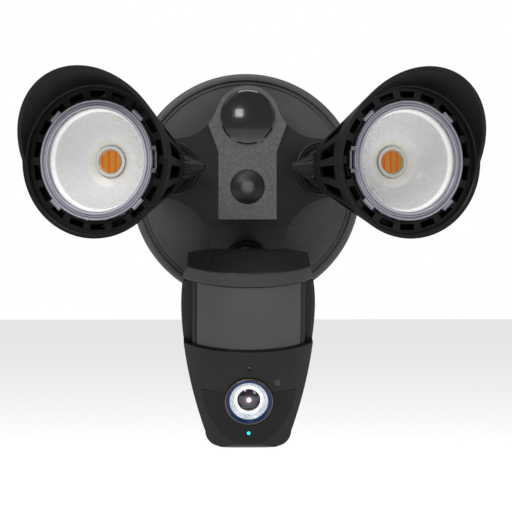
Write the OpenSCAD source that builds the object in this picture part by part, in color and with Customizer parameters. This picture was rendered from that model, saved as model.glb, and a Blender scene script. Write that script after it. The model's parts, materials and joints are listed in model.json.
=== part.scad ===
// Two-head floodlight security camera for a wall.
// +Z is up, the wall is the plane y = 0 and the light heads and the camera face -Y.

/* [Back plate] */
// radius of the round back plate
plate_r = 78.5; // [70:0.5:90]
// distance from the wall to the plate's flat field
plate_field = 9; // [8:0.5:12]
// sheet thickness of the plate
plate_wall = 2.5; // [2:0.25:3.5]
// distance between the crossbar's two box screws
box_screw_gap = 88.9; // [80:0.1:100]

/* [Hub] */
// distance from the wall to the hub's front panel
hub_front = 46; // [42:0.5:50]
// half width of the front panel
panel_half = 19.4; // [18:0.2:20]
// height at which the panel ends and the lower slope starts
panel_low = -21.8; // [-23:0.2:-20]
// wall thickness of the hub casting
hub_wall = 2.8; // [2.4:0.2:3.2]
// sideways distance of a head socket
socket_x = 49.2; // [48:0.2:51]
// height of a head socket
socket_z = 12.7; // [11:0.1:14]
// angle that each head socket looks to the side
head_yaw = 20; // [18:1:22]

/* [Light heads] */
// distance from the socket face to the tilt hinge
hinge_out = 17; // [17:0.5:19]
// distance from the socket face to the lower rim of the bezel
rim_out = 139; // [135:1:145]
// radius of the bezel's rim
rim_r = 48; // [46:0.5:50]
// half angle of the shroud's cone
cone_angle = 14.4; // [13:0.2:15]
// number of cooling fins and of side windows in a head
fin_count = 18; // [12:2:18]
// how far the visor reaches beyond the lower rim
visor_reach = 29; // [20:1:40]
// radius of the reflector's opening
reflector_r = 31.3; // [29:0.1:32]

/* [Camera] */
// angle that the camera looks down
camera_tilt = 15; // [10:1:18]
// distance from the wall to the camera's upper back edge
camera_back = 40; // [39:0.5:42]
// height of the camera's upper back edge
camera_top = -41.6; // [-43:0.2:-40]
// height of the camera body
camera_h = 121; // [116:1:124]
// greatest half width of the camera body
camera_half = 44.3; // [43:0.1:46]
// depth of the camera body
camera_depth = 62; // [60:0.5:64]
// depth below the camera's top at which the lower shell starts
lip_down = 53; // [50:1:56]
// depth below the camera's top of the lens axis
lens_down = 86.2; // [84:0.2:88]
// radius of the lens bezel
lens_r = 15.6; // [14:0.2:16]

/* [Hidden] */

eps = 0.01;
fine = 96;
small = 40;
far = 200;

// hub outline: the lobes and the hollows between them touch each other
top_lobe = [0, 46.5];
side_lobe = [socket_x, socket_z];
side_lobe_r = 20.2;
upper_hollow = [47.5, 61.5];
lower_hollow = [60, -42];
upper_hollow_r = norm(upper_hollow - side_lobe) - side_lobe_r;
lower_hollow_r = norm(lower_hollow - side_lobe) - side_lobe_r;
top_lobe_r = norm(upper_hollow - top_lobe) - upper_hollow_r;
foot_low = -62;
foot_corner = 10;
socket_front = hub_front - (socket_x - panel_half) * tan(head_yaw);
panel_wide = 26;
panel_wide_z = 40.6;
panel_taper_z = 23.2;

// sockets and swivels
socket_ring_r = 18.2;
socket_ring_step = 2;
socket_ring_h = 2.4;
swivel_flange_r = 13.8;
swivel_flange_h = 6;
shaft_r = 9.5;
shaft_gap = 0.08;
shaft_depth = 5.4;
shaft_stop_r = 12;
shaft_stop_h = 2;
wire_bore = 4.5;
slide_gap = 0.3;
ear_r = 8;
ear_in = 5.7;
ear_out = 11.2;
tongue_half = 5.4;
pin_r = 3;
pin_gap = 0.05;
pin_head_r = 5;
pin_head_h = 2;
pin_tip = 22;
knob_base = 11.6;
knob_tip = 28.5;
knob_base_r = 8;
knob_neck_r = 5;
knob_tip_r = 2.7;
knob_flutes = 6;

// light heads, measured from the socket face
cone = tan(cone_angle);
shroud_wall = 2.2;
shroud_front = rim_out - 3;
shroud_back = 47;
dome_back = 36;
neck_r = 12.5;
neck_start = 26;
window_front = rim_out - 20;
window_back = rim_out - 73;
window_share = 0.62;
lens_seat = rim_out - 4.7;
seal_h = 0.8;
cup_front = lens_seat - seal_h;
cup_r = 36.4;
cup_mouth = 34;
cup_floor = rim_out - 28;
led_top = cup_floor + 1.6;
reflector_front = cup_front - 1;
lens_flange_r = 37;
lens_thick = 2;
fin_thick = 2.4;
grille_in = 37.5;
grille_front = lens_seat - 0.3;
grille_thick = 2;
slot_in = 38.8;
slot_out = 42.6;
slot_share = 0.66;
seat_r = 21.5;
seat_h = 3;
head_screw_r = 1.5;
head_screw_ring = 17;

// camera socket and arm
slope_angle = 45;
arm_socket_f = 22;
arm_socket_z = arm_socket_f - hub_front + panel_low;
arm_long = 26.9;
arm_r = 5;
arm_collar_r = 11;
arm_shaft_r = 6;
camera_pin_r = 2.5;
camera_pin_half = 12;
arm_half = 5.8;
arm_gap = 0.4;
arm_barrel_r = 6.5;
tilt_slots = [-14, 24];

// camera body
cap_h = 9;
front_r = 52;
rear_corner = 24;
split = 30;
seal_thick = 1;
shell_wall = 4.4;
upper_step = 2.6;
drum_half = 37;
wing_front = 35.5;
pir_half = 34.3;
pane_face = 2;
pane_back = 3.6;
mic_down = 64.5;
lens_front = 64;
lens_floor = 52;

function arc(c, r, a0, a1, n) =
    [for (i = [0:n]) [c[0] + r * cos(a0 + (a1 - a0) * i / n), c[1] + r * sin(a0 + (a1 - a0) * i / n)]];
function mirrored(p) = [for (i = [len(p) - 1:-1:0]) [-p[i][0], p[i][1]]];
function both_sides(p) = concat(p, mirrored(p));
function direction(from, to) = atan2(to[1] - from[1], to[0] - from[0]);

// radius of the shroud's and visor's outer cone at a distance from the socket face
function cone_r(out) = rim_r - (rim_out - out) * cone;

// ---------- placing ----------

module from_wall(f) {
    translate([0, -f, 0]) rotate([90, 0, 0]) children();
}

// the head's axis is local +z and its socket face local z = 0
module at_socket(side) {
    translate([side * socket_x, -socket_front, socket_z])
        rotate([0, 0, side * head_yaw]) rotate([90, 0, 0]) children();
}

// local x is the hinge's axis, local z the head's axis
module at_hinge(side) {
    at_socket(side) translate([0, 0, hinge_out]) children();
}

module at_arm_socket() {
    translate([0, -arm_socket_f, arm_socket_z]) rotate([90 + slope_angle, 0, 0]) children();
}

// origin at the camera's upper back edge, -y forward and z up in the camera
module in_camera() {
    translate([0, -camera_back, camera_top]) rotate([camera_tilt, 0, 0]) children();
}

module x_rod(r, from, to, sides) {
    translate([from, 0, 0]) rotate([0, 90, 0]) cylinder(r = r, h = to - from, $fn = sides);
}

// ---------- back plate ----------

rim_height = plate_field + 2;
rim_lift = 0.5;
groove_r = plate_r - 5;
bead_r = 1.1;
plate_hole_r = 16;

module plate_profile() {
    inner = plate_r - plate_wall;
    difference() {
        union() {
            polygon(concat(
                [[plate_hole_r, plate_field - plate_wall], [groove_r - 4, plate_field - plate_wall],
                    [inner, plate_field - 7], [inner, rim_lift], [plate_r, rim_lift]],
                arc([plate_r - 3, rim_height - 3], 3, 0, 90, 8),
                [[groove_r + 0.5, rim_height], [groove_r + 0.2, plate_field + 0.2],
                    [groove_r - 0.4, plate_field + 0.2], [groove_r - 0.6, plate_field],
                    [plate_hole_r, plate_field]]));
            translate([groove_r - 0.6 - bead_r, plate_field - 0.3]) circle(r = bead_r, $fn = small);
        }
        translate([0, -far]) square([far, far]);
    }
}

module back_plate() {
    color([0.12, 0.12, 0.13])
        from_wall(0) difference() {
            rotate_extrude($fn = 180) plate_profile();
            hub_screw_spots() cylinder(r = hub_screw_r, h = far, $fn = small);
        }
}

gasket_in = plate_r - 8;
gasket_h = 2;

module wall_gasket() {
    color([0.06, 0.06, 0.06])
        from_wall(0) difference() {
            cylinder(r = plate_r - plate_wall, h = gasket_h, $fn = 180);
            translate([0, 0, -1]) cylinder(r = gasket_in, h = gasket_h + 2, $fn = 180);
        }
}

bar_long = 108;
bar_wide = 18;
bar_thick = 2;
box_screw_r = 2.3;
bolt_r = 2.4;

module crossbar() {
    color([0.7, 0.7, 0.68])
        from_wall(0) difference() {
            union() {
                translate([-bar_long / 2, -bar_wide / 2, 0]) cube([bar_long, bar_wide, bar_thick]);
                translate([0, 0, bar_thick - eps]) cylinder(r = 5, h = 2 + eps, $fn = small);
            }
            translate([0, 0, -1]) cylinder(r = bolt_r, h = far, $fn = small);
            for (side = [-1, 1]) {
                translate([side * box_screw_gap / 2, 0, -1])
                    cylinder(r = box_screw_r, h = bar_thick + 2, $fn = small);
                translate([side * 28, 0, -1]) cylinder(r = box_screw_r, h = bar_thick + 2, $fn = small);
            }
        }
}

// ---------- hub ----------

module hub_outline(inset) {
    up = direction(top_lobe, upper_hollow);
    side_top = direction(upper_hollow, side_lobe);
    side_low = direction(side_lobe, lower_hollow);
    foot_x = lower_hollow[0] - lower_hollow_r - inset;
    corner = foot_corner - inset;
    polygon(both_sides(concat(
        arc(top_lobe, top_lobe_r - inset, 90, up, 16),
        arc(upper_hollow, upper_hollow_r + inset, 180 + up, 360 + side_top, 16),
        arc(side_lobe, side_lobe_r - inset, 180 + side_top, side_low, 24),
        arc(lower_hollow, lower_hollow_r + inset, 180 + side_low, 180, 16),
        arc([foot_x - corner, foot_low + foot_corner], corner, 0, -90, 8))));
}

module panel_outline(inset) {
    polygon([[-panel_half + inset, foot_low], [panel_half - inset, foot_low],
        [panel_half - inset, panel_taper_z], [panel_wide - inset, panel_wide_z],
        [panel_wide - inset, far], [-panel_wide + inset, far],
        [-panel_wide + inset, panel_wide_z], [-panel_half + inset, panel_taper_z]]);
}

// what lies in front of the hub's side faces and of its lower slope
module hub_front_cuts(inset) {
    for (side = [-1, 1])
        at_socket(side) translate([-far, -far, -inset]) cube([2 * far, 2 * far, far]);
}

module hub_slope_cut(inset) {
    at_arm_socket() translate([-far, -far, -inset]) cube([2 * far, 2 * far, far]);
}

module hub_body(inset, base) {
    difference() {
        union() {
            difference() {
                from_wall(base) linear_extrude(hub_front - base - inset) hub_outline(inset);
                hub_front_cuts(inset);
            }
            from_wall(base) linear_extrude(hub_front - base - inset) intersection() {
                hub_outline(inset);
                panel_outline(inset);
            }
        }
        hub_slope_cut(inset);
    }
}

hub_screw_r = 1.5;
hub_boss_r = 4;
hub_boss_top = 19;

module hub_screw_spots() {
    for (side = [-1, 1]) {
        translate([side * 34, 21, 0]) children();
        translate([side * 16, -24, 0]) children();
    }
}

blank_r = 18.1;
blank_shank_r = 12;
blank_edge = 0.9;
blank_h = 2.6;
blank_ball = 140;
bolt_boss_r = 5;
bolt_hole_r = 2.7;

module hub_housing() {
    color([0.2, 0.2, 0.21])
        difference() {
            union() {
                difference() {
                    hub_body(0, plate_field);
                    hub_body(hub_wall, plate_field - 1);
                }
                from_wall(plate_field)
                    cylinder(r = bolt_boss_r, h = hub_front - plate_field - 1, $fn = small);
                intersection() {
                    hub_body(1, plate_field);
                    from_wall(plate_field) hub_screw_spots()
                        cylinder(r = hub_boss_r, h = hub_front, $fn = small);
                }
            }
            from_wall(0) {
                cylinder(r = bolt_hole_r, h = far, $fn = small);
                hub_screw_spots() cylinder(r = hub_screw_r, h = hub_boss_top - 2, $fn = small);
                translate(top_lobe) cylinder(r = blank_shank_r, h = far, $fn = fine);
            }
            for (side = [-1, 1])
                at_socket(side) translate([0, 0, -hub_wall - 2])
                    cylinder(r = shaft_r + shaft_gap, h = far, $fn = fine);
            at_arm_socket() translate([0, 0, -hub_wall - 2])
                cylinder(r = arm_shaft_r + shaft_gap, h = far, $fn = fine);
        }
}

module hub_screws() {
    head_h = 1.8;
    color([0.75, 0.75, 0.75])
        from_wall(0) hub_screw_spots() {
            translate([0, 0, plate_field - plate_wall - head_h]) difference() {
                cylinder(r = 3, h = head_h, $fn = small);
                translate([0, 0, -1]) cylinder(r = 1.2, h = 1.8, $fn = 6);
            }
            translate([0, 0, plate_field - plate_wall - eps])
                cylinder(r = hub_screw_r, h = 9, $fn = small);
        }
}

module mounting_bolt() {
    color([0.75, 0.75, 0.72])
        from_wall(0) {
            translate([0, 0, 0.5]) cylinder(r = bolt_r, h = hub_front - 0.5 + eps, $fn = small);
            translate([0, 0, hub_front]) cylinder(r = 4.6, h = 3, $fn = 6);
        }
}

bolt_cap_r = 11.6;
bolt_cap_h = 5.2;

module bolt_cap() {
    ball = (bolt_cap_r * bolt_cap_r + bolt_cap_h * bolt_cap_h) / (2 * bolt_cap_h);
    spread = asin(bolt_cap_r / ball);
    color([0.16, 0.16, 0.17])
        from_wall(hub_front) rotate_extrude($fn = fine)
            polygon(concat([[0, 3.6], [5.6, 3.6], [5.6, 0], [bolt_cap_r - 0.6, 0]],
                arc([0, bolt_cap_h - ball], ball, 90 - spread, 90, 16)));
}

module blank_cap() {
    color([0.05, 0.05, 0.05])
        from_wall(hub_front) translate(top_lobe) rotate_extrude($fn = fine)
            polygon(concat([[0, -1], [blank_shank_r - 2, -1], [blank_shank_r - 2, -8],
                [blank_shank_r, -8], [blank_shank_r, 0], [blank_r, 0], [blank_r, blank_edge]],
                arc([0, blank_h - blank_ball], blank_ball, 90 - asin((blank_r - 0.8) / blank_ball), 90,
                    16)));
}

board_half = 24;
board_low = 15;
board_high = 37;
board_lift = 5;
board_thick = 1.6;

module driver_board() {
    color([0.1, 0.3, 0.16])
        from_wall(plate_field) {
            translate([-board_half, board_low, board_lift])
                cube([2 * board_half, board_high - board_low, board_thick]);
            for (x = [-board_half + 3, board_half - 3], y = [board_low + 3, board_high - 3])
                translate([x, y, 0]) cylinder(r = 2, h = board_lift, $fn = small);
            translate([-20, board_low + 6, board_lift + board_thick]) cube([12, 12, 9]);
            translate([-4, board_low + 10, board_lift + board_thick]) cylinder(r = 4.5, h = 11, $fn = small);
        }
}

module terminal_block() {
    color([0.1, 0.45, 0.2])
        from_wall(plate_field + board_lift + board_thick) difference() {
            translate([4, board_low + 3, 0]) cube([17, 9, 9]);
            for (i = [0:2])
                translate([7 + 5.5 * i, board_low + 7.5, 4]) cylinder(r = 1.6, h = far, $fn = small);
        }
}

module wire_grommet() {
    color([0.07, 0.07, 0.07])
        from_wall(plate_field - plate_wall) rotate_extrude($fn = fine)
            translate([plate_hole_r - 2, 0]) square([2, plate_wall + 1.4]);
}

// ---------- sockets ----------

module ridge_ring(r_out, r_in) {
    rotate_extrude($fn = fine) polygon([[r_in, 0], [r_out, 0], [r_out, socket_ring_h - 1],
        [r_out - 0.8, socket_ring_h - 0.3], [r_out - socket_ring_step, socket_ring_h - 0.9],
        [r_out - socket_ring_step, socket_ring_h + 0.3], [r_in, socket_ring_h]]);
}

module socket_ring(side) {
    color([0.1, 0.1, 0.1]) at_socket(side) ridge_ring(socket_ring_r, swivel_flange_r + slide_gap);
}

module camera_socket_ring() {
    color([0.1, 0.1, 0.1]) at_arm_socket() difference() {
        cylinder(r = arm_collar_r + slide_gap + 1.5, h = 2, $fn = fine);
        translate([0, 0, -1]) cylinder(r = arm_collar_r + slide_gap, h = 4, $fn = fine);
    }
}

// ---------- head: arm, pin and knob ----------

module swivel(side) {
    color([0.09, 0.09, 0.1]) at_socket(side) difference() {
        union() {
            rotate_extrude($fn = fine) polygon(concat(
                [[0, -shaft_depth], [shaft_stop_r, -shaft_depth],
                    [shaft_stop_r, -shaft_depth + shaft_stop_h],
                    [shaft_r, -shaft_depth + shaft_stop_h], [shaft_r, slide_gap],
                    [swivel_flange_r, slide_gap], [swivel_flange_r, 3]],
                arc([swivel_flange_r - 3, 3], 3, 0, 90, 6), [[0, swivel_flange_h]]));
            for (end = [-1, 1])
                translate([end * (ear_in + ear_out) / 2, 0, hinge_out]) {
                    x_rod(ear_r, -(ear_out - ear_in) / 2, (ear_out - ear_in) / 2, fine);
                    translate([-(ear_out - ear_in) / 2, -ear_r, -hinge_out + swivel_flange_h - 1])
                        cube([ear_out - ear_in, 2 * ear_r, hinge_out - swivel_flange_h + 1]);
                }
        }
        translate([0, 0, -far]) cylinder(r = wire_bore, h = far + swivel_flange_h + 1, $fn = small);
        translate([0, 0, hinge_out]) x_rod(pin_r, -far, far, small);
    }
}

module hinge_pin(side) {
    color([0.7, 0.7, 0.72]) at_hinge(side) {
        x_rod(pin_r, side > 0 ? -pin_tip : -ear_out - eps, side > 0 ? ear_out + eps : pin_tip, small);
        x_rod(pin_head_r, side > 0 ? ear_out : -ear_out - pin_head_h,
            side > 0 ? ear_out + pin_head_h : -ear_out, small);
    }
}

module clamp_knob(side) {
    color([0.07, 0.07, 0.07]) at_hinge(side) rotate([0, -90 * side, 0]) difference() {
        rotate_extrude($fn = fine) polygon(concat(
            [[pin_r + pin_gap, knob_base], [knob_neck_r, knob_base], [knob_neck_r, knob_base + 0.8],
                [knob_base_r, knob_base + 2.2], [knob_base_r, knob_base + 3.5]],
            arc([knob_tip_r - 1.2, knob_tip - 1.2], 1.2, 10, 90, 6),
            [[0, knob_tip], [0, pin_tip + 0.5], [pin_r + pin_gap, pin_tip + 0.5]]));
        for (i = [0:knob_flutes - 1])
            rotate([0, 0, 360 * (i + 0.5) / knob_flutes]) translate([knob_base_r + 1.4, 0, knob_base + 3])
                rotate([0, -17, 0]) cylinder(r = 2.2, h = far, $fn = small);
    }
}

// ---------- head: shroud and visor ----------

module shroud(side) {
    inner_back = cone_r(shroud_back) - shroud_wall;
    dome = shroud_back - dome_back;
    color([0.07, 0.07, 0.08]) at_socket(side) difference() {
        rotate_extrude($fn = 144) polygon(concat(
            [[neck_r, shroud_back], [neck_r, dome_back]],
            [for (i = [0:10]) [neck_r + (cone_r(shroud_back) - neck_r) * sin(90 * i / 10),
                shroud_back - dome * cos(90 * i / 10)]],
            [[cone_r(shroud_front), shroud_front], [cone_r(shroud_front) - shroud_wall, shroud_front],
                [inner_back, shroud_back]]));
        for (i = [0:fin_count - 1])
            rotate([0, 0, 360 * (i + 0.5) / fin_count]) shroud_window();
        head_screw_spots() {
            translate([0, 0, dome_back - 5]) cylinder(r = 3, h = 5 + 6, $fn = small);
            cylinder(r = head_screw_r, h = far, $fn = small);
        }
    }
    color([0.07, 0.07, 0.08]) at_socket(side) grille_ring();
}

// the slotted ring between the lens and the rim
module grille_ring() {
    low = grille_front - grille_thick;
    slot_half = 180 / fin_count * slot_share;
    difference() {
        rotate_extrude($fn = 144) polygon([[grille_in, low], [cone_r(low) - shroud_wall + 0.2, low],
            [cone_r(grille_front) - shroud_wall + 0.2, grille_front], [grille_in, grille_front]]);
        for (i = [0:fin_count - 1])
            rotate([0, 0, 360 * (i + 0.5) / fin_count]) translate([0, 0, low - 1])
                linear_extrude(grille_thick + 2) polygon([[slot_in, -slot_in * tan(slot_half)],
                    [slot_out, -slot_out * tan(slot_half)],
                    [slot_out, slot_out * tan(slot_half)], [slot_in, slot_in * tan(slot_half)]]);
    }
}

// a window widens towards the front with the cone
module shroud_window() {
    half = 180 / fin_count * window_share;
    near = cone_r(window_back) * tan(half);
    wide = cone_r(window_front) * tan(half);
    rotate([0, 90, 0]) linear_extrude(far)
        polygon([[-window_back, -near], [-window_back, near], [-window_front, wide],
            [-window_front, -wide]]);
}

module head_screw_spots() {
    for (i = [0:2]) rotate([0, 0, 90 + 120 * i]) translate([head_screw_ring, 0, 0]) children();
}

module visor(side) {
    reach = rim_out + visor_reach;
    top_r = cone_r(reach);
    slant = atan2(visor_reach, top_r);
    color([0.06, 0.06, 0.07]) at_socket(side) difference() {
        rotate_extrude($fn = 144) polygon([
            [cone_r(shroud_front) - shroud_wall, shroud_front], [cone_r(shroud_front), shroud_front],
            [cone_r(reach), reach], [cone_r(reach) - shroud_wall, reach],
            [cone_r(rim_out) - shroud_wall, rim_out], [cone_r(rim_out) - shroud_wall - 0.9, rim_out - 0.8],
            [cone_r(rim_out) - shroud_wall - 0.9, shroud_front]]);
        translate([-far, -far, rim_out]) cube([2 * far, far, far]);
        translate([0, 0, rim_out]) rotate([slant, 0, 0]) translate([-far, -eps, 0])
            cube([2 * far, far, far]);
    }
}

// ---------- head: heat sink and light ----------

module heat_sink(side) {
    color([0.1, 0.1, 0.11]) at_socket(side) difference() {
        union() {
            rotate_extrude($fn = fine) polygon([
                [0, neck_start], [neck_r, neck_start], [neck_r, shroud_back], [seat_r, shroud_back],
                [seat_r, shroud_back + seat_h], [14, shroud_back + seat_h + 3], [19, cup_floor - 7],
                [cup_r, cup_floor + 13], [cup_r, cup_front], [cup_mouth, cup_front],
                [cup_mouth, cup_floor + 13], [16, cup_floor], [0, cup_floor]]);
            for (i = [0:fin_count - 1]) rotate([0, 0, 360 * i / fin_count]) fin();
            translate([-tongue_half, -ear_r, hinge_out])
                cube([2 * tongue_half, 2 * ear_r, neck_start - hinge_out + 1]);
            translate([0, 0, hinge_out]) x_rod(ear_r, -tongue_half, tongue_half, fine);
        }
        translate([0, 0, hinge_out]) x_rod(pin_r + pin_gap, -far, far, small);
        translate([0, 0, neck_start + 2]) cylinder(r = 3, h = far, $fn = small);
        head_screw_spots() translate([0, 0, shroud_back - 1]) cylinder(r = head_screw_r, h = 5, $fn = small);
    }
}

module fin() {
    gap = shroud_wall + 0.3;
    back = shroud_back + seat_h + 1;
    front = grille_front - grille_thick - 0.3;
    rotate([90, 0, 0]) linear_extrude(fin_thick, center = true) polygon([
        [8, back], [cone_r(back) - gap, back], [cone_r(front) - gap, front], [cup_r - 1, front],
        [cup_r - 1, cup_floor + 14], [18, cup_floor - 7], [12, shroud_back + 12]]);
}

module led_module(side) {
    color([0.9, 0.6, 0.1]) at_socket(side) translate([0, 0, cup_floor]) {
        cylinder(r = 14, h = 0.8, $fn = fine);
        translate([0, 0, 0.8 - eps]) cylinder(r = 7, h = 0.8 + eps, $fn = fine);
        translate([0, 0, 0.8 - eps]) difference() {
            cylinder(r = 9.9, h = 1.6, $fn = fine);
            translate([0, 0, -1]) cylinder(r = 8, h = 4, $fn = fine);
        }
    }
}

module reflector(side) {
    steps = 14;
    low_r = 10.4;
    low = led_top - 0.6;
    color([0.95, 0.95, 0.93]) at_socket(side) rotate_extrude($fn = fine) polygon(concat(
        [for (i = [0:steps]) [low_r + (reflector_r - low_r) * sqrt(i / steps),
            low + (reflector_front - low) * i / steps]],
        [[cup_mouth - 0.4, reflector_front], [cup_mouth - 0.4, reflector_front - 1.2]],
        [for (i = [steps:-1:0]) [low_r + 1 + (reflector_r - low_r) * sqrt(i / steps),
            low - 0.2 + (reflector_front - 1 - low) * i / steps]]));
}

module lens_seal(side) {
    color([0.1, 0.1, 0.1]) at_socket(side) translate([0, 0, cup_front]) difference() {
        cylinder(r = cup_r - 0.1, h = seal_h, $fn = fine);
        translate([0, 0, -1]) cylinder(r = cup_mouth + 0.1, h = seal_h + 2, $fn = fine);
    }
}

module lens(side) {
    dome = 1.8;
    lens_ball = (reflector_r * reflector_r + dome * dome) / (2 * dome);
    color([0.75, 0.75, 0.8, 0.5]) at_socket(side) {
        translate([0, 0, lens_seat]) rotate_extrude($fn = fine) polygon(concat(
            [[0, 0], [lens_flange_r, 0], [lens_flange_r, lens_thick + 0.4],
                [lens_flange_r - 0.4, lens_thick + 0.8],
                [lens_flange_r - 1, lens_thick + 0.8], [lens_flange_r - 1.5, lens_thick - 0.5],
                [lens_flange_r - 3, lens_thick - 0.5], [lens_flange_r - 3.4, lens_thick + 0.7],
                [lens_flange_r - 4.2, lens_thick + 0.7], [reflector_r + 0.6, lens_thick]],
            arc([0, lens_thick + dome - lens_ball], lens_ball, 90 - asin(reflector_r / lens_ball), 90, 12)));
        for (i = [0:3])
            rotate([0, 0, 45 + 90 * i]) translate([lens_flange_r - 1, -4, lens_seat])
                cube([3.2, 8, lens_thick]);
    }
}

module lens_clip(side) {
    color([0.6, 0.6, 0.62]) at_socket(side) rotate([0, 0, side > 0 ? 180 : 0]) {
        translate([lens_flange_r + 1.4, -8, grille_front]) cube([1.4, 16, 2.6]);
        for (end = [-1, 1])
            translate([lens_flange_r - 0.8, 6.8 * end - 1.2, grille_front + 1.6 + lens_thick - 0.4])
                cube([3.6 + eps, 2.4, 1]);
        for (end = [-1, 1])
            translate([lens_flange_r + 1.4, 6.8 * end - 1.2, grille_front + 2.6 - eps])
                cube([1.4, 2.4, lens_thick - 0.4]);
    }
}

module head_screws(side) {
    color([0.7, 0.7, 0.7]) at_socket(side) head_screw_spots() {
        translate([0, 0, dome_back + 6]) cylinder(r = head_screw_r, h = 9, $fn = small);
        translate([0, 0, dome_back + 4.4]) cylinder(r = 2.8, h = 1.6, $fn = small);
    }
}

// ---------- camera arm ----------

module camera_swivel() {
    color([0.09, 0.09, 0.1]) at_arm_socket() difference() {
        union() {
            rotate_extrude($fn = fine) polygon(concat(
                [[0, -shaft_depth], [arm_shaft_r + 3, -shaft_depth],
                    [arm_shaft_r + 3, -shaft_depth + shaft_stop_h],
                    [arm_shaft_r, -shaft_depth + shaft_stop_h], [arm_shaft_r, slide_gap],
                    [arm_collar_r, slide_gap], [arm_collar_r, 3]],
                arc([arm_collar_r - 2, 3], 2, 0, 90, 6), [[arm_r, 10], [arm_r, arm_long], [0, arm_long]]));
            translate([0, 0, arm_long]) x_rod(arm_barrel_r, -arm_half, arm_half, fine);
        }
        translate([0, 0, arm_long]) x_rod(camera_pin_r + pin_gap, -far, far, small);
        translate([0, 0, -far]) cylinder(r = 2.2, h = far + arm_long - arm_barrel_r - 2, $fn = small);
    }
}

// the tilt hinge in the camera's own frame
tilt_u = arm_u(arm_long);
tilt_w = arm_w(arm_long);
function arm_f(h) = arm_socket_f + h * sin(slope_angle) - camera_back;
function arm_z(h) = arm_socket_z - h * cos(slope_angle) - camera_top;
function arm_u(h) = arm_f(h) * cos(camera_tilt) - arm_z(h) * sin(camera_tilt);
function arm_w(h) = arm_f(h) * sin(camera_tilt) + arm_z(h) * cos(camera_tilt);

module at_tilt() {
    in_camera() translate([0, -tilt_u, tilt_w]) children();
}

module camera_hinge_pin() {
    color([0.7, 0.7, 0.72]) at_tilt() x_rod(camera_pin_r, -camera_pin_half, camera_pin_half, small);
}

// ---------- camera body ----------

function half_width(w) = w > -30 ? camera_half - 4.3 * pow((w + 30) / 30, 2)
    : camera_half - 0.00495 * pow(-30 - w, 1.842);
function back_at(w) = 26 * pow(-w / camera_h, 2.2);

module front_outline(inset) {
    steps = 24;
    low = -camera_h + 11;
    corner = 9;
    corner_end = -66;
    corner_x = half_width(low) - corner;
    end_x = corner_x + (corner - inset) * cos(corner_end);
    end_w = low + (corner - inset) * sin(corner_end);
    polygon(both_sides(concat(
        [for (i = [0:steps]) [half_width(low * i / steps) - inset, low * i / steps - (i == 0 ? inset : 0)]],
        arc([corner_x, low], corner - inset, -12, corner_end, 7),
        [for (i = [1:6]) [end_x * (1 - i / 6),
            end_w - (camera_h - inset + end_w) * (1 - pow(1 - i / 6, 2))]])));
}

module side_outline(inset) {
    steps = 16;
    round_r = 8;
    low = -camera_h + 4;
    polygon(concat(
        [for (i = [0:steps]) [back_at(low * i / steps) + inset, low * i / steps - (i == 0 ? inset : 0)]],
        [[back_at(low) + 5, -camera_h + inset]],
        arc([camera_depth - round_r, -camera_h + round_r], round_r - inset, -90, 0, 8),
        [[camera_depth - inset, -inset]]));
}

module plan_outline(inset) {
    front_c = camera_depth - front_r;
    edge = camera_half - rear_corner;
    side_a = acos(camera_half / front_r);
    polygon(both_sides(concat(
        arc([0, -front_c], front_r - inset, -90, -side_a, 28),
        arc([edge, -rear_corner], rear_corner - inset, 0, 90, 14))));
}

module body(inset) {
    in_camera() intersection() {
        rotate([90, 0, 0]) linear_extrude(far, center = true) front_outline(inset);
        rotate([90, 0, -90]) linear_extrude(far, center = true) side_outline(inset);
        translate([0, 0, -far]) linear_extrude(2 * far) plan_outline(inset);
    }
}

// a box in the camera between two heights and two distances from the back
module slab(low, high, back, front) {
    in_camera() translate([-far, -front, low]) cube([2 * far, front - back, high - low]);
}

module tilt_room() {
    at_tilt() rotate([90, 0, -90]) linear_extrude(2 * (arm_half + arm_gap), center = true) union() {
        circle(r = arm_barrel_r + 0.6, $fn = small);
        for (a = tilt_slots) rotate(150 + a) translate([0, -arm_r - 0.6]) square([60, 2 * arm_r + 1.2]);
        polygon(concat([[0, 0]], arc([0, 0], 60, 150 + tilt_slots[0], 150 + tilt_slots[1], 4)));
    }
}

module rear_shell() {
    color([0.14, 0.14, 0.15]) difference() {
        union() {
            difference() {
                intersection() {
                    body(0);
                    slab(-far, -cap_h, -far, split - seal_thick / 2);
                }
                intersection() {
                    body(shell_wall);
                    slab(-far, -cap_h - shell_wall, -far, far);
                }
            }
            intersection() {
                body(1);
                in_camera() translate([-camera_pin_half - 1, -16, -36])
                    cube([2 * camera_pin_half + 2, 16, 36 - cap_h]);
            }
        }
        tilt_room();
        at_tilt() x_rod(camera_pin_r, -camera_pin_half, camera_pin_half, small);
        shell_screw_spots() {
            cylinder(r = 1.4, h = far, $fn = small);
            translate([0, 0, -far]) cylinder(r = 2.8, h = far + 2.2, $fn = small);
        }
    }
}

// the screws go in from the back
module shell_screw_spots() {
    for (spot = [[-33, -24], [33, -24], [-27, -84], [27, -84]])
        in_camera() translate([spot[0], -back_at(spot[1]) - 5, spot[1]]) rotate([90, 0, 0]) children();
}

module shell_screws() {
    color([0.6, 0.6, 0.6]) shell_screw_spots() {
        translate([0, 0, 2.2 - eps]) cylinder(r = 1.4, h = 6 + eps, $fn = small);
        translate([0, 0, 0.8]) cylinder(r = 2.6, h = 1.4, $fn = small);
    }
}

module shell_seal() {
    color([0.05, 0.05, 0.05]) intersection() {
        difference() {
            body(0.7);
            body(shell_wall);
        }
        slab(-far, -cap_h - shell_wall, split - seal_thick / 2, split + seal_thick / 2);
    }
}

module fascia_outline() {
    steps = 16;
    top = 81.3;
    low = 117;
    half = 31;
    polygon(both_sides([for (i = [0:steps])
        [half * sqrt(1 - pow(i / steps, 1.6)), -top - (low - top) * i / steps]]));
}

module lens_bore(r, floor) {
    in_camera() translate([0, -floor, -lens_down]) rotate([90, 0, 0]) cylinder(r = r, h = far, $fn = fine);
}

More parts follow.
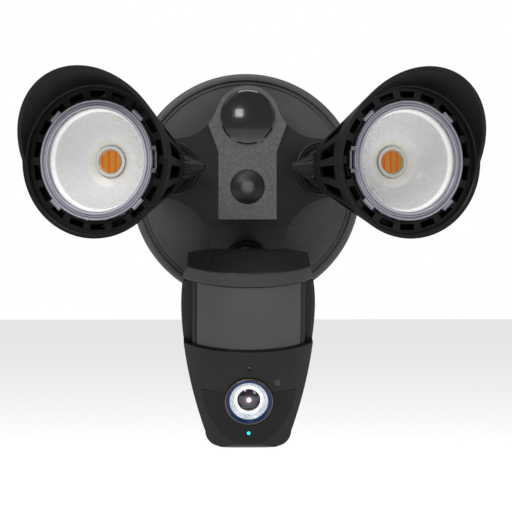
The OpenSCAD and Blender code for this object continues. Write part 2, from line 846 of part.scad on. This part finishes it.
// the room beside the window's drum, in front of the wings
module drum_sides(half, back) {
    for (end = [-1, 1])
        in_camera() translate([end > 0 ? half : -half - far, -far, -lip_down]) cube([far, far - back, far]);
}

module front_shell() {
    color([0.14, 0.14, 0.15]) difference() {
        union() {
            intersection() {
                body(0);
                slab(-far, -lip_down, split + seal_thick / 2, far);
            }
            difference() {
                intersection() {
                    body(upper_step);
                    slab(-lip_down, -cap_h, split + seal_thick / 2, far);
                }
                drum_sides(drum_half, wing_front);
            }
        }
        difference() {
            intersection() {
                body(shell_wall);
                slab(-far, -cap_h - shell_wall, -far, far);
            }
            drum_sides(drum_half - 1.9, wing_front - 1.9);
        }
        // pocket and opening of the motion sensor's window
        difference() {
            in_camera() translate([-pir_half, -far, -lip_down + 1])
                cube([2 * pir_half, far, lip_down - cap_h - 1.8]);
            body(pane_back);
        }
        in_camera() translate([-pir_half + 4, -far, -lip_down + 5])
            cube([2 * pir_half - 8, far - split - 3, lip_down - cap_h - 12]);
        // pocket of the fascia
        difference() {
            in_camera() rotate([90, 0, 0]) linear_extrude(far) fascia_outline();
            body(1.5);
        }
        lens_bore(lens_r, lens_floor);
        in_camera() {
            translate([0, -split, -mic_down]) rotate([90, 0, 0]) cylinder(r = 1.1, h = far, $fn = small);
            translate([0, -camera_depth + 0.9, -mic_down]) rotate([90, 0, 0])
                cylinder(r1 = 1.8, r2 = 4.4, h = 1.4, $fn = small);
            translate([0, -split, -108.4]) rotate([90, 0, 0]) cylinder(r = 1.05, h = far, $fn = small);
            translate([18.5, -split, -75.2]) rotate([90, 0, 0]) cylinder(r = 2.4, h = far, $fn = small);
        }
    }
}

module top_cap() {
    color([0.15, 0.15, 0.16]) difference() {
        intersection() {
            body(0);
            slab(-cap_h, far, -far, far);
        }
        intersection() {
            body(2.8);
            slab(-far, -2.8, -far, far);
        }
        tilt_room();
    }
}

module pir_window() {
    color([0.28, 0.28, 0.29]) intersection() {
        difference() {
            body(pane_face);
            body(pane_back);
        }
        in_camera() translate([-pir_half + 0.3, -far, -lip_down + 1.2])
            cube([2 * pir_half - 0.6, far - split - 2, lip_down - cap_h - 2.2]);
    }
}

module pir_sensor() {
    color([0.75, 0.75, 0.75]) in_camera() {
        translate([0, -50, -30]) rotate([90, 0, 0]) cylinder(r = 4.6, h = 5, $fn = small);
        translate([0, -49, -30]) rotate([90, 0, 0]) cylinder(r = 6, h = 1, $fn = small);
        translate([-12, -49, -42]) cube([24, 1.6, 26]);
    }
}

module camera_fascia() {
    color([0.03, 0.03, 0.03]) difference() {
        intersection() {
            body(-0.25);
            in_camera() translate([0, -split, 0]) rotate([90, 0, 0]) linear_extrude(far) fascia_outline();
        }
        body(1.5);
        lens_bore(lens_r, lens_floor);
        in_camera() translate([0, -split, -108.4]) rotate([90, 0, 0])
            cylinder(r = 1.05, h = far, $fn = small);
    }
}

module lens_turn(points) {
    in_camera() translate([0, 0, -lens_down]) rotate([90, 0, 0]) rotate_extrude($fn = fine)
        polygon(points);
}

module lens_trim() {
    color([0.55, 0.45, 0.25]) lens_turn([[lens_r - 0.4, camera_depth - 4], [lens_r, camera_depth - 4],
        [lens_r, lens_front - 0.2], [lens_r - 0.2, lens_front], [lens_r - 0.4, lens_front]]);
}

bezel_in = 12.6;

module lens_bezel() {
    color([0.05, 0.07, 0.14]) lens_turn([[bezel_in, lens_floor], [lens_r - 0.4, lens_floor],
        [lens_r - 0.4, lens_front], [lens_r - 0.8, lens_front + 0.3], [bezel_in + 0.3, lens_front - 0.6],
        [bezel_in, lens_front - 1]]);
}

module lens_barrel() {
    color([0.8, 0.82, 0.85]) lens_turn([[0, lens_floor - 14], [7, lens_floor - 14], [7, lens_floor],
        [bezel_in, lens_floor], [bezel_in, lens_front - 1.6], [9.2, lens_front - 3.6],
        [7.6, lens_front - 4], [7.6, lens_front - 6], [0, lens_front - 6]]);
}

module lens_glass() {
    ball = 12;
    color([0.02, 0.02, 0.03]) lens_turn(concat([[0, lens_front - 6], [7.5, lens_front - 6]],
        arc([0, lens_front - 1.6 - ball], ball, 90 - asin(7.5 / ball), 90, 8)));
}

module main_board() {
    color([0.1, 0.3, 0.16]) in_camera() {
        difference() {
            translate([-26, -36, -100]) cube([52, 1.6, 46]);
            translate([0, -30, -lens_down]) rotate([90, 0, 0]) cylinder(r = 5, h = 10, $fn = small);
        }
        translate([-20, -34.4, -74]) cube([16, 3, 16]);
        translate([6, -34.4, -72]) cube([12, 2, 12]);
    }
}

module speaker() {
    color([0.1, 0.1, 0.1]) in_camera() translate([0, -24, -50]) rotate([90, 0, 0]) {
        cylinder(r = 14, h = 3, $fn = fine);
        translate([0, 0, 3 - eps]) cylinder(r = 8, h = 5, $fn = fine);
    }
}

module microphone() {
    color([0.5, 0.5, 0.5]) in_camera() translate([0, -camera_depth + 7, -mic_down]) rotate([90, 0, 0])
        cylinder(r = 2.6, h = 6.8 - shell_wall, $fn = small);
}

module status_led() {
    color([0, 0.9, 1]) in_camera() translate([0, -camera_depth + 5, -108.4]) rotate([90, 0, 0])
        cylinder(r = 1.05, h = 5.35, $fn = small);
}

module light_sensor() {
    color([0.2, 0.2, 0.25]) in_camera() translate([18.5, -54, -75.2]) rotate([90, 0, 0])
        cylinder(r = 2.4, h = 4.1, $fn = small);
}

// ---------- the parts ----------

wall_gasket();
crossbar();
back_plate();
hub_housing();
hub_screws();
mounting_bolt();
bolt_cap();
blank_cap();
driver_board();
terminal_block();
wire_grommet();
socket_ring(-1);  // left_socket_ring
socket_ring(1);  // right_socket_ring
camera_socket_ring();
swivel(-1);  // left_swivel
hinge_pin(-1);  // left_hinge_pin
clamp_knob(-1);  // left_clamp_knob
shroud(-1);  // left_shroud
visor(-1);  // left_visor
heat_sink(-1);  // left_heat_sink
led_module(-1);  // left_led_module
reflector(-1);  // left_reflector
lens_seal(-1);  // left_lens_seal
lens(-1);  // left_lens
lens_clip(-1);  // left_lens_clip
head_screws(-1);  // left_head_screws
swivel(1);  // right_swivel
hinge_pin(1);  // right_hinge_pin
clamp_knob(1);  // right_clamp_knob
shroud(1);  // right_shroud
visor(1);  // right_visor
heat_sink(1);  // right_heat_sink
led_module(1);  // right_led_module
reflector(1);  // right_reflector
lens_seal(1);  // right_lens_seal
lens(1);  // right_lens
lens_clip(1);  // right_lens_clip
head_screws(1);  // right_head_screws
camera_swivel();
camera_hinge_pin();
rear_shell();  // camera_rear_shell
front_shell();  // camera_front_shell
top_cap();  // camera_top_cap
shell_seal();  // camera_shell_seal
shell_screws();  // camera_shell_screws
pir_window();
pir_sensor();
camera_fascia();
lens_trim();
lens_bezel();
lens_barrel();
lens_glass();
main_board();
speaker();
microphone();
status_led();
light_sensor();
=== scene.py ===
"""Floodlight security camera: looks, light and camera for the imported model."""

import json
import math

import bpy
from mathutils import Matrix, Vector


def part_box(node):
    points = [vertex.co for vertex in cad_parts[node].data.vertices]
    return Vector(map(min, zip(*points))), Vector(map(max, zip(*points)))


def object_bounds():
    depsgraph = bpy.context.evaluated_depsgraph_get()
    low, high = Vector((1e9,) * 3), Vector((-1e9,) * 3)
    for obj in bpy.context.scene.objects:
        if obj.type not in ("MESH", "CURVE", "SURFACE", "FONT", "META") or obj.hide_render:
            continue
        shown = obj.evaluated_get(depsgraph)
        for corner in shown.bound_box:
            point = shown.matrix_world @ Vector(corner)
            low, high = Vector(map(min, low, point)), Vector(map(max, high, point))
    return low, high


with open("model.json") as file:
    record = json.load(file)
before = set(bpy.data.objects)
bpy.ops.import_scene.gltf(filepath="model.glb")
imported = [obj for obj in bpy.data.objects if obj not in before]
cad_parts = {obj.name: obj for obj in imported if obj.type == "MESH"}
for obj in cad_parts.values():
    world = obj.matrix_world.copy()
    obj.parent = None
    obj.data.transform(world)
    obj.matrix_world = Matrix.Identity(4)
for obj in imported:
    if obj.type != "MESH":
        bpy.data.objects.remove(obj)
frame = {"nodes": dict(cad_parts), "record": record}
CAD_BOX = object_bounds()
NODES = frame["nodes"]
JOINTS = {j["name"]: j for j in frame["record"]["behaviour"]["joints"]}

MM = 0.001

# radii on a light head's axis, as in the CAD
PHOSPHOR_R = 7 * MM
HOLDER_RING_R = 9.15 * MM
OPENING_R = 29.9 * MM
LENS_FLANGE_R = 31.7 * MM
# spacing of the painted reflection bands on the phosphor
REFLECTION_BAND_PITCH = 4.4 * MM
# spacing of the painted highlight rings on the lens flange
FLANGE_HIGHLIGHT_PITCH = 1.7 * MM
# radii on the security camera's axis
WHITE_RING_R = 9.5 * MM
# radii of the painted glint and its painted halo on the lens
GLINT_R = 1.75 * MM
GLINT_HALO_IN_R = 2.4 * MM
GLINT_HALO_OUT_R = 4.4 * MM


# ---------- node helpers ----------


class Tree:
    """A material's node tree with short ways to add and join nodes."""

    def __init__(self, name):
        self.mat = bpy.data.materials.new(name)
        self.mat.use_nodes = True
        self.nt = self.mat.node_tree
        self.shader = self.nt.nodes["Principled BSDF"]
        self.here = self.add("ShaderNodeTexCoord").outputs["Object"]

    def add(self, kind, **settings):
        node = self.nt.nodes.new(kind)
        for key, value in settings.items():
            setattr(node, key, value)
        return node

    def put(self, socket, value):
        if isinstance(value, bpy.types.NodeSocket):
            self.nt.links.new(value, socket)
        else:
            socket.default_value = value

    def math(self, operation, a, b=0.0, clamp=False):
        node = self.add("ShaderNodeMath", operation=operation, use_clamp=clamp)
        self.put(node.inputs[0], a)
        self.put(node.inputs[1], b)
        return node.outputs[0]

    def vector(self, operation, a, b=(0, 0, 0)):
        node = self.add("ShaderNodeVectorMath", operation=operation)
        self.put(node.inputs[0], a)
        self.put(node.inputs[1], b)
        return node.outputs["Value" if operation in ("DOT_PRODUCT", "LENGTH") else "Vector"]

    def noise(self, scale, detail=3.0, rough=0.55, where=None):
        node = self.add("ShaderNodeTexNoise")
        self.put(node.inputs["Vector"], where or self.here)
        self.put(node.inputs["Scale"], scale)
        self.put(node.inputs["Detail"], detail)
        self.put(node.inputs["Roughness"], rough)
        return node.outputs["Fac"]

    def spread(self, value, low, high, to_low=0.0, to_high=1.0):
        node = self.add("ShaderNodeMapRange")
        for socket, part in zip(node.inputs[:5], (value, low, high, to_low, to_high)):
            self.put(socket, part)
        return node.outputs[0]

    def mix(self, share, a, b):
        node = self.add("ShaderNodeMix", data_type="RGBA")
        self.put(node.inputs[0], share)
        self.put(node.inputs[6], a)
        self.put(node.inputs[7], b)
        return node.outputs[2]

    def bump(self, height, distance, strength=1.0, under=None):
        node = self.add("ShaderNodeBump")
        self.put(node.inputs["Height"], height)
        self.put(node.inputs["Distance"], distance)
        self.put(node.inputs["Strength"], strength)
        if under is not None:
            self.put(node.inputs["Normal"], under)
        return node.outputs["Normal"]

    def rounded(self, radius):
        node = self.add("ShaderNodeBevel", samples=4)
        self.put(node.inputs["Radius"], radius)
        return node.outputs["Normal"]

    def edges(self, radius):
        """1 on sharp edges, 0 on faces."""
        flat = self.add("ShaderNodeNewGeometry").outputs["Normal"]
        same = self.vector("DOT_PRODUCT", self.rounded(radius), flat)
        return self.spread(same, 0.98, 0.8)

    def from_axis(self, centre, axis):
        """Distance from an axis through centre."""
        away = self.vector("SUBTRACT", self.here, tuple(centre))
        across = self.vector("CROSS_PRODUCT", away, tuple(axis))
        return self.vector("LENGTH", across)

    def along(self, centre, axis):
        away = self.vector("SUBTRACT", self.here, tuple(centre))
        return self.vector("DOT_PRODUCT", away, tuple(axis))

    def set(self, **values):
        for key, value in values.items():
            self.put(self.shader.inputs[key.replace("_", " ")], value)


def rgb(red, green, blue):
    return (red, green, blue, 1.0)


def grey(level, tint=0.0):
    return rgb(level, level, level * (1 + tint))


# ---------- materials ----------


def coated(name, colour, rough, grain, depth, edge=0.35, round_edge=0.5 * MM, shine=0.4, lit_panel=None):
    """Paint or moulded plastic: fine grain, uneven gloss, and edges painted lighter, partly as rubbed
    wear and partly as painted highlights.
    """
    t = Tree(name)
    cloud = t.noise(22.0, 4.0)
    speck = t.noise(grain * 0.5, 2.0)
    # edge mask for the lighter edges: rubbed wear together with painted edge highlights
    rubbed_and_highlit = t.math("MULTIPLY", t.edges(round_edge), t.spread(t.noise(180.0, 3.0), 0.35, 0.75))
    dark = tuple(c * 0.86 for c in colour[:3]) + (1.0,)
    light = tuple(min(1.0, c * 1.16 + 0.002) for c in colour[:3]) + (1.0,)
    worn_and_highlit = tuple(min(1.0, c * 1.9 + 0.02) for c in colour[:3]) + (1.0,)
    base = t.mix(t.spread(cloud, 0.3, 0.7), dark, light)
    if lit_panel:
        # the flat front is sanded and painted paler than the slopes round it: painted light on the front,
        # while the slopes stay dark as painted shade where the heads shade them
        facing = t.vector("DOT_PRODUCT", t.add("ShaderNodeNewGeometry").outputs["Normal"], (0, -1, 0))
        sanded_lit_front = t.mix(t.spread(speck, 0.35, 0.65), grey(lit_panel * 0.8), grey(lit_panel * 1.2))
        base = t.mix(t.spread(facing, 0.95, 0.985), base, sanded_lit_front)
    # lighter edges: rubbed wear with a painted highlight
    base = t.mix(t.math("MULTIPLY", rubbed_and_highlit, edge), base, worn_and_highlit)
    gloss = t.math("ADD", t.spread(cloud, 0.3, 0.7, rough - 0.05, rough + 0.05),
                   t.spread(speck, 0.3, 0.7, -0.04, 0.04))
    normal = t.bump(t.noise(grain, 2.0, 0.6), depth, 1.0, t.rounded(round_edge))
    t.set(Base_Color=base, Roughness=gloss, Normal=normal)
    t.set(Specular_IOR_Level=shine)
    return t


def metal(name, colour, rough, brushed=(900.0, 60.0, 900.0)):
    t = Tree(name)
    stretch = t.vector("MULTIPLY", t.here, brushed)
    lines = t.noise(1.0, 3.0, 0.6, stretch)
    stain = t.noise(60.0, 3.0)
    dull = tuple(c * 0.75 for c in colour[:3]) + (1.0,)
    t.set(Base_Color=t.mix(t.spread(stain, 0.35, 0.7), colour, dull), Metallic=1.0,
          Roughness=t.spread(lines, 0.3, 0.7, rough - 0.08, rough + 0.1),
          Normal=t.bump(lines, 0.02 * MM, 0.6, t.rounded(0.3 * MM)))
    return t


def rubber():
    t = Tree("rubber")
    t.set(Base_Color=t.mix(t.noise(60.0), grey(0.018), grey(0.03)), Roughness=0.8,
          Normal=t.bump(t.noise(1800.0, 2.0), 0.05 * MM))
    return t


def board():
    """Green solder mask with copper tracks under it."""
    t = Tree("board")
    cells = t.add("ShaderNodeTexVoronoi", feature="DISTANCE_TO_EDGE", distance="MANHATTAN")
    t.put(cells.inputs["Vector"], t.here)
    t.put(cells.inputs["Scale"], 350.0)
    track = t.spread(cells.outputs["Distance"], 0.05, 0.08)
    t.set(Base_Color=t.mix(track, rgb(0.05, 0.17, 0.07), rgb(0.015, 0.08, 0.03)), Roughness=0.35,
          Normal=t.bump(track, 0.03 * MM))
    return t


def reflector(name, centre, axis):
    """White moulded cone: paler deep inside and greyer towards the opening as painted shade from the
    visor, a creamy painted glow round the lamp, and a bright painted highlight rim at the opening.
    """
    t = Tree(name)
    radius = t.from_axis(centre, axis)
    soft = t.mix(t.spread(t.noise(40.0), 0.3, 0.7, 0.0, 0.2), grey(0.60), grey(0.54))
    # paler deep inside, greyer outward: painted shade from the visor
    base = t.mix(t.spread(radius, 12 * MM, 29 * MM, 1.0, 0.0), soft, grey(0.66))
    # creamy band round the lamp: painted glow
    base = t.mix(t.spread(radius, 11 * MM, 16 * MM, 1.0, 0.0), base, rgb(0.62, 0.60, 0.52))
    # bright line at the opening: painted highlight
    base = t.mix(t.spread(radius, OPENING_R - 0.3 * MM, OPENING_R + 0.3 * MM), base, grey(0.95))
    t.set(Base_Color=base, Roughness=t.spread(t.noise(300.0), 0.3, 0.7, 0.22, 0.34),
          Normal=t.bump(t.noise(700.0, 2.0), 0.02 * MM))
    return t


def lamp_chip(name, centre, axis, across):
    """Phosphor disc with darker bands painted on as painted reflections, pale holder ring and grey base.
    """
    t = Tree(name)
    radius = t.from_axis(centre, axis)
    # darker orange bands across the phosphor: painted reflection
    reflection_band = t.math("SINE", t.math("MULTIPLY", t.along(centre, across), 2 * math.pi / REFLECTION_BAND_PITCH))
    wobble = t.noise(500.0, 3.0)
    phosphor = t.mix(t.spread(wobble, 0.3, 0.7), rgb(0.52, 0.22, 0.002), rgb(0.42, 0.16, 0.001))
    phosphor = t.mix(t.spread(reflection_band, 0.5, 0.85), phosphor, rgb(0.62, 0.045, 0.002))
    past_ring = t.spread(radius, HOLDER_RING_R - 0.15 * MM, HOLDER_RING_R + 0.15 * MM)
    holder = t.mix(past_ring, rgb(0.58, 0.56, 0.50), grey(0.42))
    base = t.mix(t.spread(radius, PHOSPHOR_R - 0.1 * MM, PHOSPHOR_R + 0.1 * MM), phosphor, holder)
    t.set(Base_Color=base, Roughness=t.spread(wobble, 0.3, 0.7, 0.3, 0.45),
          Normal=t.bump(wobble, 0.05 * MM), Specular_IOR_Level=0.1)
    return t


def clear_lens(name, centre, axis):
    """Clear moulded lens; the flange round it is smoky, with pale rings painted on as painted highlights.
    """
    t = Tree(name)
    radius = t.from_axis(centre, axis)
    flange = t.spread(radius, LENS_FLANGE_R - 0.2 * MM, LENS_FLANGE_R + 0.2 * MM)
    # pale concentric lines on the flange: painted highlights
    highlight_ring = t.math("SINE", t.math("MULTIPLY", radius, 2 * math.pi / FLANGE_HIGHLIGHT_PITCH))
    smoky = t.mix(t.spread(highlight_ring, -0.6, 0.8), rgb(0.15, 0.14, 0.18), rgb(0.36, 0.34, 0.40))
    t.set(Base_Color=t.mix(flange, grey(0.12, 0.02), smoky),
          Roughness=t.spread(flange, 0.0, 1.0, 0.03, 0.16),
          Alpha=t.spread(flange, 0.0, 1.0, 0.05, 0.72),
          Normal=t.bump(t.noise(90.0, 2.0), 0.02 * MM), IOR=1.49)
    return t


def window():
    """Dark translucent-looking plastic over the motion sensor."""
    return coated("sensor_window", grey(0.034, 0.02), 0.38, 2600.0, 0.012 * MM, edge=0.3, shine=0.3)


def glossy(name, colour, rough, shine=0.5, coat=0.0):
    t = Tree(name)
    haze = t.noise(70.0, 4.0)
    t.set(Base_Color=t.mix(t.spread(haze, 0.3, 0.7), colour, tuple(c * 1.3 for c in colour[:3]) + (1.0,)),
          Roughness=t.spread(haze, 0.3, 0.75, rough, rough + 0.06), Coat_Weight=coat, Coat_Roughness=0.04,
          Specular_IOR_Level=shine,
          Normal=t.bump(t.noise(260.0, 2.0), 0.004 * MM, 1.0, t.rounded(0.3 * MM)))
    return t


def lens_barrel(name, centre, axis):
    """Bead-blasted silver ring round a white ring."""
    t = Tree(name)
    radius = t.from_axis(centre, axis)
    white = t.spread(radius, WHITE_RING_R + 0.1 * MM, WHITE_RING_R - 0.1 * MM)
    spots = t.noise(2200.0, 2.0)
    silver = t.mix(t.spread(spots, 0.35, 0.65), rgb(0.26, 0.29, 0.33), rgb(0.72, 0.76, 0.82))
    t.set(Base_Color=t.mix(white, silver, grey(0.93)), Metallic=t.spread(white, 0.0, 1.0, 0.5, 0.0),
          Roughness=t.spread(white, 0.0, 1.0, 0.42, 0.25), Normal=t.bump(spots, 0.06 * MM))
    return t


def dark_glass(centre, axis):
    """Near-black lens with a painted reflection: a small pale painted glint at the centre in a faint
    painted halo.
    """
    t = Tree("dark_glass")
    radius = t.from_axis(centre, axis)
    base = t.mix(t.noise(300.0), rgb(0.004, 0.004, 0.01), rgb(0.012, 0.006, 0.02))
    # faint purplish ring round the centre: painted halo of the glint
    base = t.mix(t.spread(radius, GLINT_HALO_OUT_R, GLINT_HALO_IN_R, 0.0, 0.5), base, rgb(0.12, 0.07, 0.10))
    # pale dot at the centre: painted glint
    base = t.mix(t.spread(radius, GLINT_R + 0.15 * MM, GLINT_R - 0.15 * MM), base, rgb(0.80, 0.62, 0.66))
    t.set(Base_Color=base, Roughness=t.spread(t.noise(90.0), 0.3, 0.7, 0.02, 0.05), IOR=1.6)
    return t


def lit():
    t = Tree("status_light")
    glow = t.mix(t.noise(900.0), rgb(0.0, 0.75, 0.9), rgb(0.0, 0.9, 1.0))
    t.set(Base_Color=glow, Emission_Color=glow, Emission_Strength=1.2, Roughness=0.3)
    return t


# ---------- finish every CAD piece ----------


def finish_nodes():
    sand = dict(grain=1500.0, depth=0.16 * MM)
    shared = {
        "plate": coated("plate_paint", grey(0.048, 0.02), 0.46, edge=0.15, shine=0.25, **sand),
        # the hub's dark base colour is painted shade on its slopes, and its flat front is painted paler
        # as painted light
        "hub": coated("hub_paint", grey(0.01, 0.03), 0.4, edge=0.2, shine=0.2, lit_panel=0.072, **sand),
        "head": coated("head_metal", grey(0.0045, 0.03), 0.42, 1900.0, 0.04 * MM, edge=0.25, shine=0.1),
        "shroud": coated("shroud_plastic", grey(0.0045, 0.03), 0.36, 2300.0, 0.03 * MM, edge=0.2,
                         shine=0.11),
        "black": coated("black_plastic", grey(0.007, 0.02), 0.42, 2100.0, 0.04 * MM, shine=0.15),
        "shell": coated("shell_plastic", grey(0.012, 0.04), 0.32, 2400.0, 0.02 * MM, edge=0.25,
                        round_edge=0.9 * MM, shine=0.12),
        "top": coated("cap_plastic", grey(0.014, 0.04), 0.26, 2400.0, 0.02 * MM, edge=0.2,
                      round_edge=1.8 * MM, shine=0.3),
        "gloss": glossy("gloss_black", grey(0.004, 0.1), 0.07, shine=0.14),
        "cap": glossy("blank_gloss", grey(0.004, 0.1), 0.08, coat=0.6),
        "steel": metal("zinc_steel", grey(0.6), 0.32),
        "clip": metal("clip_steel", grey(0.11), 0.4),
        "brass": metal("trim_brass", rgb(0.2, 0.15, 0.08), 0.3),
        "rubber": rubber(),
        "board": board(),
        "block": coated("terminal_green", rgb(0.03, 0.25, 0.09), 0.4, 2000.0, 0.03 * MM),
        "window": window(),
        "navy": glossy("bezel_navy", rgb(0.006, 0.014, 0.055), 0.14, shine=0.2),
        "smoked": glossy("smoked_window", grey(0.02, 0.1), 0.12, shine=0.25),
        "lit": lit(),
    }
    use = {
        "wall_gasket": "rubber", "crossbar": "steel", "back_plate": "plate", "hub_housing": "hub",
        "hub_screws": "steel", "mounting_bolt": "steel", "bolt_cap": "hub", "blank_cap": "cap",
        "driver_board": "board", "terminal_block": "block", "wire_grommet": "rubber",
        "camera_swivel": "black", "camera_hinge_pin": "steel", "camera_rear_shell": "shell",
        "camera_front_shell": "shell", "camera_top_cap": "top", "camera_shell_seal": "rubber",
        "camera_shell_screws": "steel", "pir_window": "window", "pir_sensor": "steel",
        "camera_fascia": "gloss", "lens_trim": "brass", "lens_bezel": "navy",
        "main_board": "board", "speaker": "black", "microphone": "steel", "status_led": "lit",
        "light_sensor": "smoked", "camera_socket_ring": "black", "swivel": "head",
        "hinge_pin": "steel", "clamp_knob": "black", "shroud": "shroud", "visor": "shroud",
        "heat_sink": "head", "lens_seal": "rubber", "lens_clip": "clip", "head_screws": "steel",
        "socket_ring": "black",
    }
    own = {}
    for side in ("left", "right"):
        swivel = JOINTS[side + "_swivel_joint"]
        centre = Vector(swivel["pos_m"])
        axis = Vector(swivel["axis"])
        across = Vector(JOINTS[side + "_tilt_joint"]["axis"])
        own[side + "_reflector"] = reflector(side + "_white", centre, axis)
        own[side + "_led_module"] = lamp_chip(side + "_chip", centre, axis, across)
        own[side + "_lens"] = clear_lens(side + "_clear", centre, axis)
    low, high = (Vector(c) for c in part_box("lens_glass"))
    own["lens_barrel"] = lens_barrel("barrel_silver", (low + high) / 2, camera_forward())
    own["lens_glass"] = dark_glass((low + high) / 2, camera_forward())
    for name, obj in NODES.items():
        short = name.split("_", 1)[1] if name.startswith(("left_", "right_")) else name
        tree = own.get(name) or shared[use[short]]
        obj.data.materials.clear()
        obj.data.materials.append(tree.mat)


def camera_forward():
    """The way the security camera's lens looks, from two rings on its axis."""
    barrel = [Vector(c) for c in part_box("lens_barrel")]
    glass = [Vector(c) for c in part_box("lens_glass")]
    way = (glass[0] + glass[1]) / 2 - (barrel[0] + barrel[1]) / 2
    return way.normalized()


# ---------- scene ----------

AIM = Vector((7.1, 0.0, -46.45)) * MM
AZIMUTH = math.radians(-1.8)
ELEVATION = math.radians(0.2)
DISTANCE = 1.45
LENS_MM = 147.7
FLOOR_DROP = 0.12
FLOOR_REACH = 6.0
# the world lights the object less than it looks to the camera, so the backdrop stays white
WORLD_LIGHT = 0.3
WORLD_SEEN = 1.0
LAMP_AIM = (0, -0.1, 0)
# name, place, size and watts of each soft lamp; the small one makes a highlight on the blank cap
LAMPS = [
    ("key", (-0.75, -1.2, 1.1), 0.8, 26.0),
    ("fill", (1.1, -1.3, 0.5), 0.7, 7.0),
    ("top", (0.1, -0.4, 1.5), 1.0, 12.0),
    ("window", (-0.1, -1.7, 0.22), 0.13, 0.45),
]


def add_camera():
    data = bpy.data.cameras.new("view")
    data.lens = LENS_MM
    data.sensor_width = 36.0
    cam = bpy.data.objects.new("view", data)
    bpy.context.scene.collection.objects.link(cam)
    back = Vector((math.sin(AZIMUTH) * math.cos(ELEVATION), -math.cos(AZIMUTH) * math.cos(ELEVATION),
                   math.sin(ELEVATION)))
    cam.location = AIM + back * DISTANCE
    cam.rotation_euler = (-back).to_track_quat("-Z", "Y").to_euler()
    bpy.context.scene.camera = cam


def add_light(name, spot, aim, size, watts):
    data = bpy.data.lights.new(name, "AREA")
    data.shape = "SQUARE"
    data.size = size
    data.energy = watts
    lamp = bpy.data.objects.new(name, data)
    lamp.location = spot
    lamp.rotation_euler = (Vector(aim) - Vector(spot)).to_track_quat("-Z", "Y").to_euler()
    bpy.context.scene.collection.objects.link(lamp)


def add_studio():
    low = CAD_BOX[0][2] - FLOOR_DROP
    mesh = bpy.data.meshes.new("floor")
    corners = [(x * FLOOR_REACH, y * FLOOR_REACH, low) for x, y in ((-1, -1), (1, -1), (1, 1), (-1, 1))]
    mesh.from_pydata(corners, [], [(0, 1, 2, 3)])
    floor = bpy.data.objects.new("floor", mesh)
    bpy.context.scene.collection.objects.link(floor)
    pale = Tree("floor_pale")
    pale.set(Base_Color=pale.mix(pale.noise(2.0), grey(0.88), grey(0.92)), Roughness=0.9,
             Emission_Color=grey(1.0), Emission_Strength=0.5)
    mesh.materials.append(pale.mat)
    world = bpy.data.worlds.new("studio")
    world.use_nodes = True
    nt = world.node_tree
    seen = nt.nodes.new("ShaderNodeLightPath").outputs["Is Camera Ray"]
    level = nt.nodes.new("ShaderNodeMapRange")
    nt.links.new(seen, level.inputs[0])
    level.inputs[3].default_value = WORLD_LIGHT
    level.inputs[4].default_value = WORLD_SEEN
    background = nt.nodes["Background"]
    background.inputs["Color"].default_value = (1.0, 1.0, 1.0, 1.0)
    nt.links.new(level.outputs[0], background.inputs["Strength"])
    bpy.context.scene.world = world
    for name, spot, size, watts in LAMPS:
        add_light(name, spot, LAMP_AIM, size, watts)


finish_nodes()
add_studio()
add_camera()
bpy.context.scene.view_settings.view_transform = "Standard"
